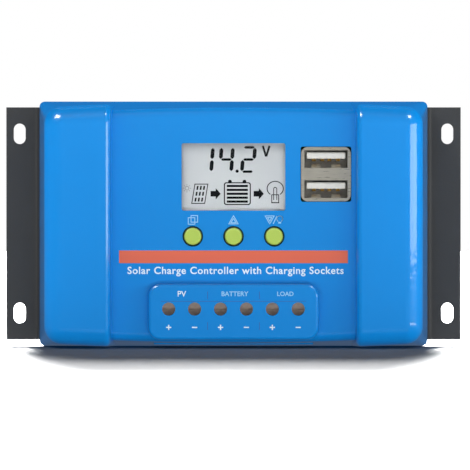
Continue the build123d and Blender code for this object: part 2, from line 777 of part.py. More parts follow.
for name, x in terminal_x.items():
    with BuildPart() as cage:
        with BuildSketch(Plane.XY.offset(terminal_z - cage_length / 2)):
            with Locations((x, -(cage_bottom + cage_top) / 2)):
                RectangleRounded(cage_width, cage_top - cage_bottom, 0.5)
            inner = cage_head_back - cage_bottom - cage_floor
            with Locations((x, -(cage_bottom + cage_floor + inner / 2))):
                Rectangle(wire_width, inner, mode=Mode.SUBTRACT)
        extrude(amount=cage_length)
        with BuildSketch(level(cage_head_back - 0.5)):
            with Locations((x, terminal_z)):
                Circle(clamp_screw_radius + clamp_play)
        extrude(amount=cage_head + 1, mode=Mode.SUBTRACT)
    save(cage.part, f"{name}_cage")

    with BuildPart() as screw:
        with BuildSketch(level(bar_front + clamp_play)):
            with Locations((x, terminal_z)):
                Circle(clamp_screw_radius)
        extrude(amount=head_back - bar_front - clamp_play)
        with BuildSketch(level(head_back)):
            with Locations((x, terminal_z)):
                Circle(clamp_head_radius)
        extrude(amount=clamp_head_height)
        chamfer(edges().group_by(Axis.Y)[0], 0.25)
        with BuildSketch(level(head_front)):
            with Locations((x, terminal_z)):
                Rectangle(2 * clamp_head_radius - 1.2, 0.7)
                Rectangle(0.7, 2 * clamp_head_radius - 1.2)
        extrude(amount=-1.1, mode=Mode.SUBTRACT)
    save(screw.part, f"{name}_screw")

# ================================================================ power parts
with BuildPart() as capacitor_cans:
    # Two tall cans under the right pod, each with a rolled groove and a scored vent.
    with BuildSketch(level(board_front)):
        with Locations(*can_spots):
            Circle(can_radius - sleeve_thickness)
    extrude(amount=can_height)
    fillet(edges().filter_by(GeomType.CIRCLE).group_by(Axis.Y)[0], 0.5)
    with BuildSketch(level(board_front + can_height)):
        with Locations(*can_spots):
            Rectangle(can_radius, 0.3)
            Rectangle(0.3, can_radius)
    extrude(amount=-0.3, mode=Mode.SUBTRACT)
save(capacitor_cans.part, "capacitor_cans")

with BuildPart() as capacitor_sleeves:
    with BuildSketch(level(board_front + 0.2)):
        with Locations(*can_spots):
            Circle(can_radius)
            Circle(can_radius - sleeve_thickness + 0.01, mode=Mode.SUBTRACT)
    extrude(amount=can_height - 0.9)
save(capacitor_sleeves.part, "capacitor_sleeves")

with BuildPart() as inductor_core:
    with BuildSketch(level(core_back)):
        with Locations((core_x, core_z)):
            Circle(core_radius)
            Circle(core_hole_radius, mode=Mode.SUBTRACT)
    extrude(amount=core_height)
    fillet(edges().filter_by(GeomType.CIRCLE), 0.6)
save(inductor_core.part, "inductor_core")

with BuildPart() as inductor_winding:
    # Each turn is a closed ring of wire around the core's section.
    ring_width = core_radius - core_hole_radius + 2 * wire_radius + 0.1
    ring_height = core_height + 2 * wire_radius + 0.1
    ring_x = (core_radius + core_hole_radius) / 2
    for i in range(turns):
        angle = 360 * (i + 0.5) / turns
        spin = Plane(
            origin=(core_x, -(core_back + core_height / 2), core_z),
            x_dir=(cos(radians(angle)), 0, sin(radians(angle))),
            z_dir=(-sin(radians(angle)), 0, cos(radians(angle))),
        )
        with BuildSketch(spin):
            with Locations((ring_x, 0)):
                RectangleRounded(ring_width + wire_radius * 2, ring_height + wire_radius * 2, 1.2)
                RectangleRounded(ring_width - 2 * wire_radius, ring_height - 2 * wire_radius, 0.5,
                                 mode=Mode.SUBTRACT)
        extrude(amount=wire_radius * 0.9, both=True)
save(inductor_winding.part, "inductor_winding")

with BuildPart() as thermal_pad:
    with BuildSketch(level(rim_level)):
        with Locations((0, transistor_z + 2)):
            Rectangle(4 * transistor_pitch, transistor_body + transistor_tab + 3)
    extrude(amount=pad_thickness)
save(thermal_pad.part, "thermal_pad")

with BuildPart() as transistor_tabs:
    with BuildSketch(level(rim_level + pad_thickness)):
        for x in transistor_x:
            with Locations((x, transistor_z + transistor_tab / 2)):
                Rectangle(transistor_width, transistor_body + transistor_tab)
            with Locations((x, transistor_z + transistor_body / 2 + transistor_tab * 0.6)):
                Circle(1.8, mode=Mode.SUBTRACT)
    extrude(amount=tab_thickness)
save(transistor_tabs.part, "transistor_tabs")

with BuildPart() as transistor_bodies:
    with BuildSketch(level(rim_level + pad_thickness + tab_thickness)):
        for x in transistor_x:
            with Locations((x, transistor_z)):
                Rectangle(transistor_width, transistor_body)
    extrude(amount=transistor_thickness - tab_thickness)
    chamfer(edges().group_by(Axis.Y)[0], 0.4)
save(transistor_bodies.part, "transistor_bodies")

with BuildPart() as transistor_leads:
    # Straight out of each body, then up through the board.
    body_end = transistor_z - transistor_body / 2
    lead_level = rim_level + pad_thickness + tab_thickness + 0.9
    for x, z in lead_spots:
        with BuildSketch(Plane.YZ.offset(x)):
            with BuildLine():
                Polyline(
                    (-lead_level, body_end),
                    (-lead_level, z - 0.25),
                    (-(board_front + 1), z - 0.25),
                    (-(board_front + 1), z + 0.25),
                    (-(lead_level + 0.5), z + 0.25),
                    (-(lead_level + 0.5), body_end),
                    close=True,
                )
            make_face()
        extrude(amount=0.35, both=True)
save(transistor_leads.part, "transistor_leads")

# ================================================================ link between the boards
with BuildPart() as header:
    with BuildSketch(level(board_front)):
        with Locations((header_x, header_z)):
            Rectangle(2.5, header_pins_count * header_pitch)
    extrude(amount=display_back - board_front)
    chamfer(edges().filter_by(Axis.Y), 0.4)
    with BuildSketch(level(board_front)):
        with Locations((header_x, header_z)):
            with GridLocations(1, header_pitch, 1, header_pins_count):
                Rectangle(0.66, 0.66)
    extrude(amount=display_back - board_front, mode=Mode.SUBTRACT)
save(header.part, "header")

with BuildPart() as header_pins:
    with BuildSketch(level(board_back - 0.8)):
        with Locations((header_x, header_z)):
            with GridLocations(1, header_pitch, 1, header_pins_count):
                Rectangle(0.64, 0.64)
    extrude(amount=display_front - board_back + 1.6)
save(header_pins.part, "header_pins")

with BuildPart() as chips:
    # The controller on the back of the display board and two drivers on the power board.
    with BuildSketch(level(display_back)):
        with Locations((6, 10)):
            Rectangle(7, 7)
    extrude(amount=-1.4)
    with BuildSketch(level(board_front)):
        with Locations((-12, 16), (6, 16)):
            Rectangle(5, 4)
        with Locations((-40, -14)):
            Rectangle(5.2, 4.4)
    extrude(amount=1.5)
    chamfer(edges().filter_by(Axis.Y), 0.25)
save(chips.part, "chips")

with BuildPart() as shunts:
    # Low bridges of resistance wire that the currents are measured across.
    with BuildSketch(level(board_front)):
        with Locations((-8, -12.5), (8, -12.5)):
            Rectangle(10, 1.6)
    extrude(amount=3)
    with BuildSketch(level(board_front)):
        with Locations((-8, -12.5), (8, -12.5)):
            Rectangle(8, 2)
    extrude(amount=2.2, mode=Mode.SUBTRACT)
save(shunts.part, "shunts")
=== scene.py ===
import bpy
import numpy as np
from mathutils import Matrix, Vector


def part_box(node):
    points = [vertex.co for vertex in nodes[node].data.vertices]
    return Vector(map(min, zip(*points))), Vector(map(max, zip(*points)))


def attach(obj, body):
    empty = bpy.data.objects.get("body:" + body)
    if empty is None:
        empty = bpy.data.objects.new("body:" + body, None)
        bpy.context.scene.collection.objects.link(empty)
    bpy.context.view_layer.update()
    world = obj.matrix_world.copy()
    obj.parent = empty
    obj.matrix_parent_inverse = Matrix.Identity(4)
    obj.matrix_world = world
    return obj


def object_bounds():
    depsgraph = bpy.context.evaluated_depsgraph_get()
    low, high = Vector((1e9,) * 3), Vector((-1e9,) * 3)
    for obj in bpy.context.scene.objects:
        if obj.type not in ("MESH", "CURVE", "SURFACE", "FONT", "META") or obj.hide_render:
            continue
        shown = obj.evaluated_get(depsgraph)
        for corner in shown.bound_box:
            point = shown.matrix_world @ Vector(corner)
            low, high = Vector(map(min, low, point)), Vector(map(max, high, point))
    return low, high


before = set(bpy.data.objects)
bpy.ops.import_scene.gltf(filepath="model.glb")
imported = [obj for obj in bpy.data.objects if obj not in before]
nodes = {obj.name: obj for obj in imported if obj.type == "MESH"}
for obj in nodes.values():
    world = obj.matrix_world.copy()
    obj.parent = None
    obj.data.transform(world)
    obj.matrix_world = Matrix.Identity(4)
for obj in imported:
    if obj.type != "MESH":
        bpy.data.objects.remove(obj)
cad_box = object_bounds()

# ------------------------------------------------------------ camera
# A long lens looks almost straight at the front, from just above the middle of the case.
MM = 0.001
camera_distance = 2.5
view_width = 137.7 * MM  # what the frame spans at the wall plane
sensor = 36.0
rise = np.radians(1.2)
aim = Vector((0.44, 0, -3.4)) * MM

camera_data = bpy.data.cameras.new("camera")
camera_data.sensor_width = sensor
camera_data.lens = sensor * camera_distance / view_width
camera_data.clip_start, camera_data.clip_end = 0.05, 20
camera = bpy.data.objects.new("camera", camera_data)
toward_camera = Vector((0, -np.cos(rise), np.sin(rise)))
camera.location = aim + toward_camera * camera_distance
camera.rotation_mode = "QUATERNION"
camera.rotation_quaternion = toward_camera.to_track_quat("Z", "Y")
bpy.context.scene.collection.objects.link(camera)
bpy.context.scene.camera = camera
bpy.context.scene.view_settings.view_transform = "Standard"

# ------------------------------------------------------------ studio
# The case stands on a grey table top in a white room. Soft boxes light the front, some for the gloss
# alone and some for the colour alone. Two low suns behind light only the table, so that the case
# throws a long soft shadow forward from its base.
table_reach, table_depth, table_back = 6.0, 4.0, 1.2  # half width, half depth, far edge
table_level = cad_box[0].z - 0.02 * MM


def soft_box(name, place, size, watts, aim_at=(0, 0, 0)):
    """A rectangular lamp at place, facing aim_at."""
    data = bpy.data.lights.new(name, "AREA")
    data.shape = "RECTANGLE"
    data.size, data.size_y = size
    data.energy = watts
    lamp = bpy.data.objects.new(name, data)
    lamp.location = place
    lamp.rotation_mode = "QUATERNION"
    lamp.rotation_quaternion = (Vector(place) - Vector(aim_at)).to_track_quat("Z", "Y")
    bpy.context.scene.collection.objects.link(lamp)
    return lamp


key_box = soft_box("key_box", (0.2, -1.3, 0.25), (0.7, 0.5), 1.7)
left_side = soft_box("left_side", (-1.1, -0.15, 0.25), (0.5, 0.5), 3.5)
right_side = soft_box("right_side", (1.1, -0.15, 0.25), (0.5, 0.5), 3.0)
soft_box("right_box", (0.9, -0.6, -0.01), (0.9, 0.24), 4.6)
left_lamp = soft_box("left_lamp", (-0.5, -0.55, 0.75), (0.5, 0.35), 14.0)
right_lamp = soft_box("right_lamp", (0.5, -0.55, 0.75), (0.3, 0.25), 6.0)
for lamp in (left_lamp, right_lamp):  # these two only make the bright spots in the gloss
    lamp.visible_diffuse = False
sky_box = soft_box("sky_box", (0.0, 0.7, 1.1), (1.2, 0.5), 16.0)
under_box = soft_box("under_box", (0.0, -1.15, -0.38), (1.2, 0.3), 6.5)
for lamp in (key_box, left_side, right_side, sky_box, under_box):
    lamp.visible_glossy = False


def sun_behind(name, rise_degrees, spread, strength):
    """A wide soft disc of light behind the case at this height, which lights the table only."""
    data = bpy.data.lights.new(name, "SUN")
    data.angle, data.energy = np.radians(spread), strength
    lamp = bpy.data.objects.new(name, data)
    lamp.rotation_mode = "QUATERNION"
    height = np.radians(rise_degrees)
    lamp.rotation_quaternion = Vector((0, np.cos(height), np.sin(height))).to_track_quat("Z", "Y")
    bpy.context.scene.collection.objects.link(lamp)
    return lamp


suns = [sun_behind("low_sun", 15, 16, 42), sun_behind("high_sun", 31, 20, 7.8)]

room = bpy.data.worlds.new("room")
room.use_nodes = True
links, shaders = room.node_tree.links, room.node_tree.nodes
wall_light = shaders["Background"]
wall_seen = shaders.new("ShaderNodeBackground")
wall_seen.inputs["Color"].default_value = (1, 1, 1, 1)


def blend_colour(factor, first, second):
    """A colour Mix node of the room; first and second are colours or sockets."""
    node = shaders.new("ShaderNodeMix")
    node.data_type = "RGBA"
    links.new(factor, node.inputs["Factor"])
    for socket, value in ((node.inputs[6], first), (node.inputs[7], second)):
        if isinstance(value, tuple):
            socket.default_value = value
        else:
            links.new(value, socket)
    return node.outputs[2]


# Gloss sees a dim pale room in front and a deep blue one behind, so faces that look up or back
# keep their colour instead of a grey sheen. A diffuse ray sees one even grey.
heading = shaders.new("ShaderNodeTexCoord")
heading_parts = shaders.new("ShaderNodeSeparateXYZ")
behind = shaders.new("ShaderNodeMapRange")
behind.inputs["From Min"].default_value, behind.inputs["From Max"].default_value = -0.6, 0.0
links.new(heading.outputs["Generated"], heading_parts.inputs[0])
links.new(heading_parts.outputs["Y"], behind.inputs["Value"])
ray = shaders.new("ShaderNodeLightPath")
gloss_room = blend_colour(behind.outputs[0], (0.2, 0.2, 0.2, 1), (0.02, 0.15, 0.42, 1))
links.new(blend_colour(ray.outputs["Is Diffuse Ray"], gloss_room, (0.23, 0.23, 0.23, 1)),
          wall_light.inputs["Color"])
either = shaders.new("ShaderNodeMixShader")
links.new(ray.outputs["Is Camera Ray"], either.inputs[0])
links.new(wall_light.outputs[0], either.inputs[1])
links.new(wall_seen.outputs[0], either.inputs[2])
links.new(either.outputs[0], shaders["World Output"].inputs["Surface"])
bpy.context.scene.world = room

table_mesh = bpy.data.meshes.new("table_top")
corners = [(-1, -1), (1, -1), (1, 1), (-1, 1)]
table_mesh.from_pydata(
    [(x * table_reach, table_depth * y - table_depth + table_back, table_level) for x, y in corners], [],
    [(0, 1, 2, 3)])
table_top = bpy.data.objects.new("table_top", table_mesh)
bpy.context.scene.collection.objects.link(table_top)
table_paint = bpy.data.materials.new("table_paint")
table_paint.use_nodes = True
table_shader = table_paint.node_tree.nodes["Principled BSDF"]
table_shader.inputs["Base Color"].default_value = (0.24, 0.24, 0.24, 1)
table_shader.inputs["Roughness"].default_value = 0.8
table_shader.inputs["Specular IOR Level"].default_value = 0.1
# Gloss sees the table as a dim blue-grey glow, a painted reflection in place of the bright table, and
# from underneath the table is clear.
table_tree = table_paint.node_tree
path = table_tree.nodes.new("ShaderNodeLightPath")
side = table_tree.nodes.new("ShaderNodeNewGeometry")
dim = table_tree.nodes.new("ShaderNodeEmission")
clear = table_tree.nodes.new("ShaderNodeBsdfTransparent")
dim.inputs["Color"].default_value = (0.08, 0.11, 0.16, 1)
for_gloss, for_under = (table_tree.nodes.new("ShaderNodeMixShader") for _ in range(2))
for start, end in ((path.outputs["Is Glossy Ray"], for_gloss.inputs[0]),
                   (table_shader.outputs[0], for_gloss.inputs[1]),
                   (dim.outputs[0], for_gloss.inputs[2]),
                   (side.outputs["Backfacing"], for_under.inputs[0]),
                   (for_gloss.outputs[0], for_under.inputs[1]),
                   (clear.outputs[0], for_under.inputs[2]),
                   (for_under.outputs[0], table_tree.nodes["Material Output"].inputs["Surface"])):
    table_tree.links.new(start, end)
table_mesh.materials.append(table_paint)
only_table = bpy.data.collections.new("only_table")
only_table.objects.link(table_top)
for lamp in suns:
    lamp.light_linking.receiver_collection = only_table
# The under box shines up through the table, which neither takes its light nor blocks it.
but_table = bpy.data.collections.new("but_table")
but_table.objects.link(table_top)
but_table.collection_objects[0].light_linking.link_state = "EXCLUDE"
for lamp in (under_box, sky_box, left_side, right_side):
    lamp.light_linking.receiver_collection = but_table
under_box.light_linking.blocker_collection = but_table


# ------------------------------------------------------------ case
# The case is one injection-moulded shell of satin blue plastic. Its skin has the fine, soft spark
# texture of the mould and slight colour drift between thick and thin places.
def linear(red, green, blue):
    """Screen colour of 0 to 255 as linear red, green, blue and alpha."""
    c = np.array([red, green, blue]) / 255
    return (*np.where(c <= 0.04045, c / 12.92, ((c + 0.055) / 1.055) ** 2.4), 1.0)


def new_group(name, inputs, outputs):
    """An empty shader node group with named float, colour and vector sockets."""
    group = bpy.data.node_groups.new(name, "ShaderNodeTree")
    for way, sockets in (("INPUT", inputs), ("OUTPUT", outputs)):
        for label, kind, *value in sockets:
            socket = group.interface.new_socket(name=label, in_out=way, socket_type="NodeSocket" + kind)
            if value:
                socket.default_value = value[0]
    return group, group.nodes.new("NodeGroupInput"), group.nodes.new("NodeGroupOutput")


# The skin effect: colour drift, grain and roughness variation over the piece's own coordinates.
skin, skin_in, skin_out = new_group(
    "moulded_skin",
    [("Colour", "Color"), ("Drift", "Float", 0.04), ("Grain size", "Float", 2500.0),
     ("Grain depth", "Float", 0.1), ("Roughness", "Float", 0.4), ("Rough drift", "Float", 0.08)],
    [("Colour", "Color"), ("Roughness", "Float"), ("Normal", "Vector")])


def math_node(tree, kind, *inputs):
    """A Math node whose inputs are numbers or sockets; returns its output."""
    node = tree.nodes.new("ShaderNodeMath")
    node.operation = kind
    for place, value in enumerate(inputs):
        if isinstance(value, (int, float)):
            node.inputs[place].default_value = value
        else:
            tree.links.new(value, node.inputs[place])
    return node.outputs[0]


def noise(tree, scale, detail=3.0, kind="ShaderNodeTexNoise"):
    """Noise over Object coordinates at scale, a number or a socket."""
    place = tree.nodes.new("ShaderNodeTexCoord")
    texture = tree.nodes.new(kind)
    tree.links.new(place.outputs["Object"], texture.inputs["Vector"])
    if kind == "ShaderNodeTexNoise":
        texture.inputs["Detail"].default_value = detail
    if isinstance(scale, (int, float)):
        texture.inputs["Scale"].default_value = scale
    else:
        tree.links.new(scale, texture.inputs["Scale"])
    return texture.outputs[0]


cloud = noise(skin, 55.0)
smear = noise(skin, 160.0, 5.0)
grain = noise(skin, skin_in.outputs["Grain size"], 4.0)
shade = math_node(skin, "MULTIPLY_ADD", math_node(skin, "SUBTRACT", cloud, 0.5),
                  skin_in.outputs["Drift"], 1.0)
tinted = skin.nodes.new("ShaderNodeVectorMath")
tinted.operation = "SCALE"
skin.links.new(skin_in.outputs["Colour"], tinted.inputs[0])
skin.links.new(shade, tinted.inputs["Scale"])
skin.links.new(tinted.outputs[0], skin_out.inputs["Colour"])
skin.links.new(
    math_node(skin, "MULTIPLY_ADD", math_node(skin, "SUBTRACT", smear, 0.5),
              skin_in.outputs["Rough drift"], skin_in.outputs["Roughness"]),
    skin_out.inputs["Roughness"])
relief = skin.nodes.new("ShaderNodeBump")
relief.inputs["Distance"].default_value = 0.05 * MM
skin.links.new(skin_in.outputs["Grain depth"], relief.inputs["Strength"])
skin.links.new(grain, relief.inputs["Height"])
skin.links.new(relief.outputs[0], skin_out.inputs["Normal"])


def finish_of(name, colour, drift, grain_size, grain_depth, roughness, rough_drift, **sockets):
    """A material with the moulded skin. sockets are set on the shader itself."""
    material = bpy.data.materials.new(name)
    material.use_nodes = True
    tree = material.node_tree
    shader = tree.nodes["Principled BSDF"]
    coat = tree.nodes.new("ShaderNodeGroup")
    coat.node_tree = skin
    values = dict(zip(("Drift", "Grain size", "Grain depth", "Roughness", "Rough drift"),
                      (drift, grain_size, grain_depth, roughness, rough_drift)))
    coat.inputs["Colour"].default_value = colour
    for label, value in values.items():
        coat.inputs[label].default_value = value
    tree.links.new(coat.outputs["Colour"], shader.inputs["Base Color"])
    tree.links.new(coat.outputs["Roughness"], shader.inputs["Roughness"])
    tree.links.new(coat.outputs["Normal"], shader.inputs["Normal"])
    for label, value in sockets.items():
        shader.inputs[label.replace("_", " ")].default_value = value
    return material


def paint(material, *names):
    """Puts one material on every slot of these CAD nodes."""
    for name in names:
        mesh = nodes[name].data
        mesh.materials.clear()
        mesh.materials.append(material)


case_blue = finish_of("blue_moulding", linear(2, 138, 222), 0.05, 2600.0, 0.1, 0.32, 0.04,
                      Specular_IOR_Level=0.2, Coat_Weight=0.75, Coat_Roughness=0.05)
paint(case_blue, "case")

# ------------------------------------------------------------ mounting plate
# The plate is bent steel sheet under a black powder coat, whose skin has a coarse orange peel and
# a little dust-like speckle.
coat_black = finish_of("black_powder_coat", linear(51, 52, 52), 0.25, 1500.0, 0.45, 0.55, 0.12)
paint(coat_black, "mounting_plate")
screw_black = finish_of("black_zinc", linear(30, 30, 32), 0.3, 900.0, 0.2, 0.35, 0.15, Metallic=0.8)
paint(screw_black, "case_screws")

# ------------------------------------------------------------ buttons
# Each cap is a satin yellow-green moulding with a soft round edge, and its plunger is black.
button_green = finish_of("green_cap", linear(180, 208, 88), 0.08, 3000.0, 0.1, 0.42, 0.08,
                         Subsurface_Weight=0.15, Subsurface_Scale=0.4 * MM)
paint(button_green, *[f"{place}_button_cap" for place in ("left", "middle", "right")])
plastic_black = finish_of("black_moulding", linear(28, 28, 30), 0.2, 2400.0, 0.3, 0.45, 0.1)
paint(plastic_black, *[f"{place}_plunger" for place in ("left", "middle", "right")], "switch_bodies",
      "terminal_block", "transistor_bodies", "header", "chips")

# ------------------------------------------------------------ display
# Behind a clear window lie the two glasses of a reflective display: a pale silver-grey face with
# dark figures. The figures are thin films on the front glass.
window_clear = bpy.data.materials.new("window_clear")
window_clear.use_nodes = True
window_tree = window_clear.node_tree
window_shader = window_tree.nodes["Principled BSDF"]
window_shader.inputs["Base Color"].default_value = (1, 1, 1, 1)
window_shader.inputs["Transmission Weight"].default_value = 1.0
window_shader.inputs["IOR"].default_value = 1.2
scuffs = math_node(window_tree, "MULTIPLY_ADD", noise(window_tree, 300.0, 6.0), 0.03, 0.0)
window_tree.links.new(scuffs, window_shader.inputs["Roughness"])
paint(window_clear, "lens")
display_face = finish_of("display_face", linear(196, 200, 201), 0.03, 3500.0, 0.05, 0.5, 0.05)
paint(display_face, "front_glass", "rear_glass", "light_guide")
frame_white = finish_of("white_moulding", linear(225, 225, 220), 0.05, 2000.0, 0.1, 0.4, 0.08)
paint(frame_white, "glass_holder", "usb_insulator")
strip_grey = finish_of("grey_rubber", linear(150, 150, 152), 0.1, 1800.0, 0.3, 0.7, 0.1)
paint(strip_grey, "contact_strips", "thermal_pad")


def film(name, outlines, level, material, thickness=0.03 * MM, body="controller"):
    """Thin printed shapes, each outline a closed list of x, z in mm, on the plane y = -level."""
    layers, faces, start = [], [], 0
    for outline in outlines:
        ring = np.asarray(outline, float)
        area = np.sum(ring[:, 0] * np.roll(ring[:, 1], -1) - np.roll(ring[:, 0], -1) * ring[:, 1])
        ring = ring if area > 0 else ring[::-1]
        count = len(ring)
        for lift in (0.0, thickness):
            depth = np.full(count, -level - lift)
            layers.append(np.column_stack([ring[:, 0] * MM, depth, ring[:, 1] * MM]))
        back = start + np.arange(count)
        front, back_next = back + count, np.roll(back, -1)
        faces += [front.tolist(), back[::-1].tolist()]
        faces += np.column_stack([back, back_next, back_next + count, front]).tolist()
        start += 2 * count
    mesh = bpy.data.meshes.new(name)
    mesh.from_pydata(np.concatenate(layers).tolist(), [], faces)
    mesh.materials.append(material)
    piece = bpy.data.objects.new(name, mesh)
    bpy.context.scene.collection.objects.link(piece)
    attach(piece, body)
    return piece


def slanted(points, corner, lean=0.0):
    """Points moved to corner, with x pushed sideways by lean for each unit of height."""
    x, z = np.transpose(points)
    return np.column_stack([corner[0] + x + lean * z, corner[1] + z])


# Seven bars of a digit: each is a six-sided lozenge, flat or upright, in a cell of this size.
digit_width, digit_height, bar, upright, gap = 4.4, 7.75, 0.72, 1.1, 0.12
half = (digit_height - bar) / 2


def flat_bar(low):
    """A level bar of the digit whose lower edge is at low."""
    left, right = upright / 2 + gap, digit_width - upright / 2 - gap
    return [(left, low + bar / 2), (left + bar / 2, low), (right - bar / 2, low), (right, low + bar / 2),
            (right - bar / 2, low + bar), (left + bar / 2, low + bar)]


def upright_bar(left, low):
    """An upright bar of the digit from left and low."""
    bottom, top, point = low + bar / 2 + gap, low + half + bar / 2 - gap, upright / 2
    return [(left + point, bottom), (left + upright, bottom + point), (left + upright, top - point),
            (left + point, top), (left, top - point), (left, bottom + point)]


bars = {"a": flat_bar(2 * half), "g": flat_bar(half), "d": flat_bar(0.0),
        "f": upright_bar(0, half), "b": upright_bar(digit_width - upright, half),
        "e": upright_bar(0, 0), "c": upright_bar(digit_width - upright, 0)}
lit = {"1": "bc", "4": "fgbc", "2": "abged"}
lean = 0.075
digits_z = 15.15
glass_front = -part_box("front_glass")[0].y
figures = []
for mark, left in (("1", -10.35), ("4", -4.55), ("2", 1.85)):
    figures += [slanted(bars[name], (left, digits_z), lean) for name in lit[mark]]


def square(x, z, width, height=None):
    """A rectangle about x, z."""
    w, h = width / 2, (height or width) / 2
    return [(x - w, z - h), (x + w, z - h), (x + w, z + h), (x - w, z + h)]


def stroke(x0, z0, x1, z1, width):
    """A straight line of this width as a four-sided outline."""
    along = np.array([x1 - x0, z1 - z0], float)
    across = np.array([-along[1], along[0]]) / np.hypot(*along) * width / 2
    return [(x0 - across[0], z0 - across[1]), (x1 - across[0], z1 - across[1]),
            (x1 + across[0], z1 + across[1]), (x0 + across[0], z0 + across[1])]


def strokes(points, width, closed=False):
    """A run of straight lines through these points, with square joints."""
    points = np.asarray(points, float)
    ends = np.roll(points, -1, axis=0) if closed else points[1:]
    lines = [stroke(*a, *b, width) for a, b in zip(points, ends)]
    return lines + [square(x, z, width) for x, z in points]


def arc(x, z, radius, start, stop, steps=14):
    """Points on a circle about x, z from start to stop degrees."""
    turn = np.radians(np.linspace(start, stop, steps))
    return np.column_stack([x + radius * np.cos(turn), z + radius * np.sin(turn)])


figures += [arc(1.05, 15.65, 0.48, 0, 340)]  # decimal point, then the V
figures += [stroke(8.5, 23.0, 9.45, 19.9, 0.62), stroke(10.45, 23.0, 9.5, 19.9, 0.62)]

# The row of pictures: sun, solar panel, arrow, battery, arrow, lamp.
sun_x, sun_z = -13.5, 10.7
faint = strokes(arc(sun_x, sun_z, 0.55, 0, 330, 12), 0.15, closed=True)
for angle in range(0, 360, 45):
    ray_x, ray_z = np.cos(np.radians(angle)), np.sin(np.radians(angle))
    faint += [stroke(sun_x + 0.8 * ray_x, sun_z + 0.8 * ray_z,
                     sun_x + 1.2 * ray_x, sun_z + 1.2 * ray_z, 0.16)]
panel_corner, panel_lean, panel_w, panel_h = (-12.1, 6.3), 0.165, 3.75, 5.6
for row in range(3):
    for column in range(3):
        cell = square(panel_w / 2 + (column - 1) * 0.95, panel_h / 2 + (row - 1) * 1.7, 0.5, 1.15)
        figures += [slanted(cell, panel_corner, panel_lean)]
for outline in strokes([(0, 0), (panel_w, 0), (panel_w, panel_h), (0, panel_h)], 0.26, closed=True):
    figures += [slanted(outline, panel_corner, panel_lean)]
arrow_z = 9.1
for tail in (-6.65, 5.85):
    figures += [square(tail + 0.8, arrow_z, 1.6, 1.6),
                [(tail + 1.5, arrow_z - 1.65), (tail + 2.95, arrow_z), (tail + 1.5, arrow_z + 1.65)]]
battery_x, battery_low, battery_w, battery_h, round_off = 1.12, 5.98, 7.5, 6.3, 0.6
left, right = battery_x - battery_w / 2 + round_off, battery_x + battery_w / 2 - round_off
low, high = battery_low + round_off, battery_low + battery_h - round_off
battery_rim = np.concatenate([
    arc(right, high, round_off, 0, 90, 5), arc(left, high, round_off, 90, 180, 5),
    arc(left, low, round_off, 180, 270, 5), arc(right, low, round_off, 270, 360, 5)])
figures += strokes(battery_rim, 0.32, closed=True)
figures += [square(battery_x, battery_low + 0.85 + 1.13 * row, 6.1, 0.66) for row in range(5)]
figures += [arc(battery_x + post, battery_low + battery_h + 0.35, 0.55, 0, 340)
            for post in (-2.15, 2.05)]
lamp_x, lamp_z = 12.1, 10.6
lamp_round = (lamp_x, 0) + arc(0, lamp_z, 2.1, -50, 230, 22) * (1.12, 1)  # wider than high
figures += strokes(lamp_round, 0.26)
figures += strokes([(lamp_x - 1.0, lamp_z - 4.1), (lamp_x - 1.0, lamp_z - 1.8),
                    (lamp_x + 1.0, lamp_z - 1.8), (lamp_x + 1.0, lamp_z - 4.1)], 0.24)
figures += strokes([(lamp_x - 0.45, lamp_z - 3.2), *arc(lamp_x, lamp_z - 0.1, 0.45, 180, 0, 7),
                    (lamp_x + 0.45, lamp_z - 3.2)], 0.22)
figures += [square(lamp_x, lamp_z - 4.1, 2.3, 0.3)]
ink_dark = finish_of("display_ink", linear(10, 11, 12), 0.1, 3000.0, 0.02, 0.6, 0.05,
                     Specular_IOR_Level=0.1)
film("display_figures", figures, glass_front, ink_dark, 0.02 * MM)
ink_grey = finish_of("weak_display_ink", linear(120, 124, 126), 0.1, 3000.0, 0.02, 0.35, 0.05)
film("display_sun", faint, glass_front, ink_grey, 0.02 * MM)

# ------------------------------------------------------------ charging sockets
# The double shell is folded nickel-plated steel with brushed marks, the tongues are white nylon,
# and the sprung contacts have a gold flash.
# The streak effect: fine streaks drawn out along X, in colour, roughness and relief.
streaks, streaks_in, streaks_out = new_group(
    "worked_streaks",
    [("Dark", "Color"), ("Light", "Color"), ("Streak size", "Float", 2000.0),
     ("Streak depth", "Float", 0.15), ("Least roughness", "Float", 0.2)],
    [("Colour", "Color"), ("Roughness", "Float"), ("Normal", "Vector")])
along_x = streaks.nodes.new("ShaderNodeTexCoord")
stretch = streaks.nodes.new("ShaderNodeMapping")
stretch.inputs["Scale"].default_value = (0.12, 1.0, 1.0)
streak = streaks.nodes.new("ShaderNodeTexNoise")
streak.inputs["Detail"].default_value = 5.0
streak_tint = streaks.nodes.new("ShaderNodeMix")
streak_tint.data_type = "RGBA"
streak_relief = streaks.nodes.new("ShaderNodeBump")
streak_relief.inputs["Distance"].default_value = 0.02 * MM
for start, end in ((along_x.outputs["Object"], stretch.inputs["Vector"]),
                   (stretch.outputs[0], streak.inputs["Vector"]),
                   (streaks_in.outputs["Streak size"], streak.inputs["Scale"]),
                   (streak.outputs[0], streak_tint.inputs["Factor"]),
                   (streaks_in.outputs["Dark"], streak_tint.inputs[6]),
                   (streaks_in.outputs["Light"], streak_tint.inputs[7]),
                   (streak_tint.outputs[2], streaks_out.inputs["Colour"]),
                   (streaks_in.outputs["Streak depth"], streak_relief.inputs["Strength"]),
                   (streak.outputs[0], streak_relief.inputs["Height"]),
                   (streak_relief.outputs[0], streaks_out.inputs["Normal"])):
    streaks.links.new(start, end)
streaks.links.new(math_node(streaks, "MULTIPLY_ADD", streak.outputs[0], 0.2,
                            streaks_in.outputs["Least roughness"]), streaks_out.inputs["Roughness"])


